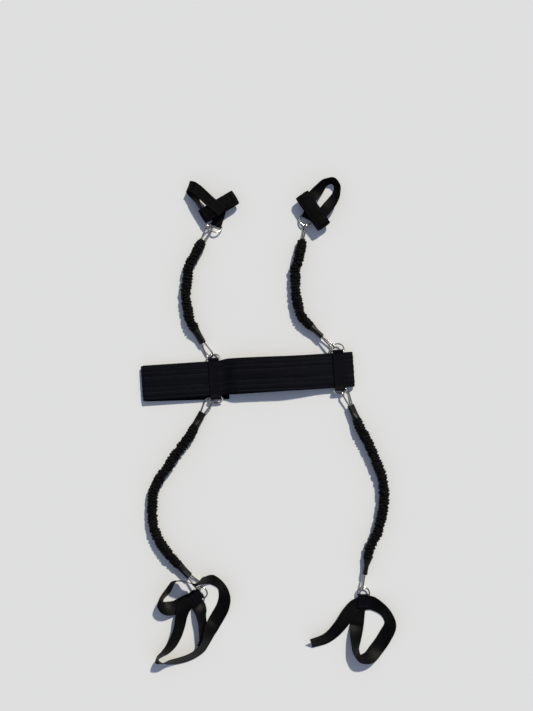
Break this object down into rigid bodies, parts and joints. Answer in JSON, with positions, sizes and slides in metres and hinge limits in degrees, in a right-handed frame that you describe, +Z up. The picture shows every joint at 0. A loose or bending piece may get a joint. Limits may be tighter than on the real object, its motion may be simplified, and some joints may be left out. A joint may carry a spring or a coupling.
{
  "type": "resistance band harness",
  "caption": "Padded waist belt with webbing strips and D-rings; sleeved elastic bands with snap hooks run to padded wrist cuffs with hand loops and to ankle straps, laid out flat.",
  "frame": {"origin": "on the waist belt's underside, midway between its two webbing strips", "axes": "+X along the waist belt towards its long free side, +Y across the belt towards the wrist cuffs, +Z up, away from the ground that the harness lies on"},
  "size_m": [0.5588, 1.1254, 0.0569],
  "materials": {
    "padding": "matt near-black woven face over thin foam",
    "webbing": "near-black ribbed webbing",
    "sleeve": "matt near-black gathered cloth",
    "closure": "hook-and-loop pile",
    "elastic": "matt dark rubber",
    "sheath": "semi-gloss black moulding",
    "steel": "bright nickel plate"
  },
  "bodies": {
    "belt": {"belt_body": "padding", "belt_hook_patch": "closure", "belt_loop_patch": "closure", "belt_strip_left": "webbing", "belt_strip_right": "webbing"},
    "arm_left_belt_ring": {"arm_left_belt_ring": "steel"},
    "arm_left_band": {"arm_left_belt_hook": "steel", "arm_left_belt_sheath": "sheath", "arm_left_core": "elastic", "arm_left_sleeve": "sleeve"},
    "arm_left_belt_gate": {"arm_left_belt_gate": "steel"},
    "arm_left_wrist_end": {"arm_left_wrist_hook": "steel", "arm_left_wrist_sheath": "sheath"},
    "arm_left_wrist_gate": {"arm_left_wrist_gate": "steel"},
    "arm_left_wrist_ring": {"arm_left_wrist_ring": "steel"},
    "wrist_left_cuff": {"wrist_left_pad": "padding", "wrist_left_tab": "webbing", "wrist_left_hand_loop": "webbing"},
    "arm_right_belt_ring": {"arm_right_belt_ring": "steel"},
    "arm_right_band": {"arm_right_belt_hook": "steel", "arm_right_belt_sheath": "sheath", "arm_right_core": "elastic", "arm_right_sleeve": "sleeve"},
    "arm_right_belt_gate": {"arm_right_belt_gate": "steel"},
    "arm_right_wrist_end": {"arm_right_wrist_hook": "steel", "arm_right_wrist_sheath": "sheath"},
    "arm_right_wrist_gate": {"arm_right_wrist_gate": "steel"},
    "arm_right_wrist_ring": {"arm_right_wrist_ring": "steel"},
    "wrist_right_cuff": {"wrist_right_pad": "padding", "wrist_right_tab": "webbing", "wrist_right_hand_loop": "webbing"},
    "leg_left_belt_ring": {"leg_left_belt_ring": "steel"},
    "leg_left_band": {"leg_left_belt_hook": "steel", "leg_left_belt_sheath": "sheath", "leg_left_core": "elastic", "leg_left_sleeve": "sleeve"},
    "leg_left_belt_gate": {"leg_left_belt_gate": "steel"},
    "leg_left_ankle_end": {"leg_left_ankle_hook": "steel", "leg_left_ankle_sheath": "sheath"},
    "leg_left_ankle_gate": {"leg_left_ankle_gate": "steel"},
    "leg_left_ankle_ring": {"leg_left_ankle_ring": "steel"},
    "ankle_left_cuff": {"ankle_left_strap": "webbing", "ankle_left_tab": "webbing"},
    "leg_right_belt_ring": {"leg_right_belt_ring": "steel"},
    "leg_right_band": {"leg_right_belt_hook": "steel", "leg_right_belt_sheath": "sheath", "leg_right_core": "elastic", "leg_right_sleeve": "sleeve"},
    "leg_right_belt_gate": {"leg_right_belt_gate": "steel"},
    "leg_right_ankle_end": {"leg_right_ankle_hook": "steel", "leg_right_ankle_sheath": "sheath"},
    "leg_right_ankle_gate": {"leg_right_ankle_gate": "steel"},
    "leg_right_ankle_ring": {"leg_right_ankle_ring": "steel"},
    "ankle_right_cuff": {"ankle_right_strap": "webbing", "ankle_right_tab": "webbing"}
  },
  "joints": [
    {"name": "arm_left_ring_swing", "type": "hinge", "parent": "belt", "child": "arm_left_belt_ring", "pos_m": [-0.14225, 0.044, 0.01815], "axis": [1, 0, 0], "range_deg": [0, 90]},
    {"name": "arm_left_band_swing", "type": "hinge", "parent": "arm_left_belt_ring", "child": "arm_left_band", "pos_m": [-0.15246, 0.05274, 0.00613], "axis": [0, 0, 1], "range_deg": [-5, 40]},
    {"name": "arm_left_stretch", "type": "slide", "parent": "arm_left_band", "child": "arm_left_wrist_end", "axis": [0.0778, 0.997, 0], "range_m": [0, 0.2], "stiffness_N_per_m": 90, "deforming": ["arm_left_core", "arm_left_sleeve"]},
    {"name": "arm_left_cuff_turn", "type": "hinge", "parent": "arm_left_wrist_end", "child": "arm_left_wrist_ring", "pos_m": [-0.12995, 0.34125, 0.00997], "axis": [0, 0, 1], "range_deg": [-10, 40]},
    {"name": "arm_left_cuff_fold", "type": "hinge", "parent": "arm_left_wrist_ring", "child": "wrist_left_cuff", "pos_m": [-0.11584, 0.35048, 0.0033], "axis": [0.9336, -0.3584, 0], "range_deg": [0, 20]},
    {"name": "arm_left_belt_gate_hinge", "type": "hinge", "parent": "arm_left_band", "child": "arm_left_belt_gate", "pos_m": [-0.15775, 0.07965, 0.01351], "axis": [0.5138, 0.3193, -0.7962], "range_deg": [0, 25], "stiffness_Nm_per_rad": 0.02},
    {"name": "arm_left_wrist_gate_hinge", "type": "hinge", "parent": "arm_left_wrist_end", "child": "arm_left_wrist_gate", "pos_m": [-0.14916, 0.32353, 0.01759], "axis": [-0.6296, 0.3948, -0.6691], "range_deg": [0, 25], "stiffness_Nm_per_rad": 0.02},
    {"name": "arm_right_ring_swing", "type": "hinge", "parent": "belt", "child": "arm_right_belt_ring", "pos_m": [0.14225, 0.044, 0.01815], "axis": [1, 0, 0], "range_deg": [0, 90]},
    {"name": "arm_right_band_swing", "type": "hinge", "parent": "arm_right_belt_ring", "child": "arm_right_band", "pos_m": [0.13008, 0.05466, 0.01199], "axis": [0, 0, -1], "range_deg": [-5, 20]},
    {"name": "arm_right_stretch", "type": "slide", "parent": "arm_right_band", "child": "arm_right_wrist_end", "axis": [-0.1522, 0.9884, 0], "range_m": [0, 0.2], "stiffness_N_per_m": 90, "deforming": ["arm_right_core", "arm_right_sleeve"]},
    {"name": "arm_right_cuff_turn", "type": "hinge", "parent": "arm_right_wrist_end", "child": "arm_right_wrist_ring", "pos_m": [0.08679, 0.33581, 0.00874], "axis": [0, 0, -1], "range_deg": [-10, 25]},
    {"name": "arm_right_cuff_fold", "type": "hinge", "parent": "arm_right_wrist_ring", "child": "wrist_right_cuff", "pos_m": [0.09231, 0.35368, 0.0052], "axis": [0.866, -0.5, 0], "range_deg": [0, 20]},
    {"name": "arm_right_belt_gate_hinge", "type": "hinge", "parent": "arm_right_band", "child": "arm_right_belt_gate", "pos_m": [0.11107, 0.07395, 0.00799], "axis": [-0.7157, -0.6552, 0.2418], "range_deg": [0, 25], "stiffness_Nm_per_rad": 0.02},
    {"name": "arm_right_wrist_gate_hinge", "type": "hinge", "parent": "arm_right_wrist_end", "child": "arm_right_wrist_gate", "pos_m": [0.07896, 0.30985, 0.00667], "axis": [0.9218, -0.2546, -0.2923], "range_deg": [0, 25], "stiffness_Nm_per_rad": 0.02},
    {"name": "leg_left_ring_swing", "type": "hinge", "parent": "belt", "child": "leg_left_belt_ring", "pos_m": [-0.14225, -0.044, 0.01815], "axis": [-1, 0, 0], "range_deg": [0, 90]},
    {"name": "leg_left_band_swing", "type": "hinge", "parent": "leg_left_belt_ring", "child": "leg_left_band", "pos_m": [-0.15551, -0.05113, 0.01102], "axis": [0, 0, -1], "range_deg": [-5, 15]},
    {"name": "leg_left_stretch", "type": "slide", "parent": "leg_left_band", "child": "leg_left_ankle_end", "axis": [-0.1299, -0.9915, 0], "range_m": [0, 0.35], "stiffness_N_per_m": 60, "deforming": ["leg_left_core", "leg_left_sleeve"]},
    {"name": "leg_left_cuff_turn", "type": "hinge", "parent": "leg_left_ankle_end", "child": "leg_left_ankle_ring", "pos_m": [-0.21081, -0.47319, 0.01324], "axis": [0, 0, -1], "range_deg": [-10, 12]},
    {"name": "leg_left_cuff_fold", "type": "hinge", "parent": "leg_left_ankle_ring", "child": "ankle_left_cuff", "pos_m": [-0.20907, -0.48877, 0.01], "axis": [-0.5592, 0.829, 0], "range_deg": [0, 8]},
    {"name": "leg_left_belt_gate_hinge", "type": "hinge", "parent": "leg_left_band", "child": "leg_left_belt_gate", "pos_m": [-0.1771, -0.06948, 0.00868], "axis": [0.2966, -0.2311, -0.9266], "range_deg": [0, 25], "stiffness_Nm_per_rad": 0.02},
    {"name": "leg_left_ankle_gate_hinge", "type": "hinge", "parent": "leg_left_ankle_end", "child": "leg_left_ankle_gate", "pos_m": [-0.22398, -0.44886, 0.00683], "axis": [-0.6021, -0.4914, -0.6292], "range_deg": [0, 25], "stiffness_Nm_per_rad": 0.02},
    {"name": "leg_right_ring_swing", "type": "hinge", "parent": "belt", "child": "leg_right_belt_ring", "pos_m": [0.14225, -0.044, 0.01815], "axis": [-1, 0, 0], "range_deg": [0, 90]},
    {"name": "leg_right_band_swing", "type": "hinge", "parent": "leg_right_belt_ring", "child": "leg_right_band", "pos_m": [0.15416, -0.05075, 0.00735], "axis": [0, 0, 1], "range_deg": [-5, 40]},
    {"name": "leg_right_stretch", "type": "slide", "parent": "leg_right_band", "child": "leg_right_ankle_end", "axis": [0.0206, -0.9998, 0], "range_m": [0, 0.35], "stiffness_N_per_m": 60, "deforming": ["leg_right_core", "leg_right_sleeve"]},
    {"name": "leg_right_cuff_turn", "type": "hinge", "parent": "leg_right_ankle_end", "child": "leg_right_ankle_ring", "pos_m": [0.16342, -0.49944, 0.00887], "axis": [0, 0, 1], "range_deg": [-10, 15]},
    {"name": "leg_right_cuff_fold", "type": "hinge", "parent": "leg_right_ankle_ring", "child": "ankle_right_cuff", "pos_m": [0.16381, -0.5186, 0.0082], "axis": [-0.9976, 0.0698, 0], "range_deg": [0, 80]},
    {"name": "leg_right_belt_gate_hinge", "type": "hinge", "parent": "leg_right_band", "child": "leg_right_belt_gate", "pos_m": [0.15761, -0.07861, 0.01338], "axis": [-0.5535, -0.2411, -0.7972], "range_deg": [0, 25], "stiffness_Nm_per_rad": 0.02},
    {"name": "leg_right_ankle_gate_hinge", "type": "hinge", "parent": "leg_right_ankle_end", "child": "leg_right_ankle_gate", "pos_m": [0.16984, -0.47441, 0.00678], "axis": [-0.9653, 0.2391, -0.1045], "range_deg": [0, 25], "stiffness_Nm_per_rad": 0.02}
  ]
}
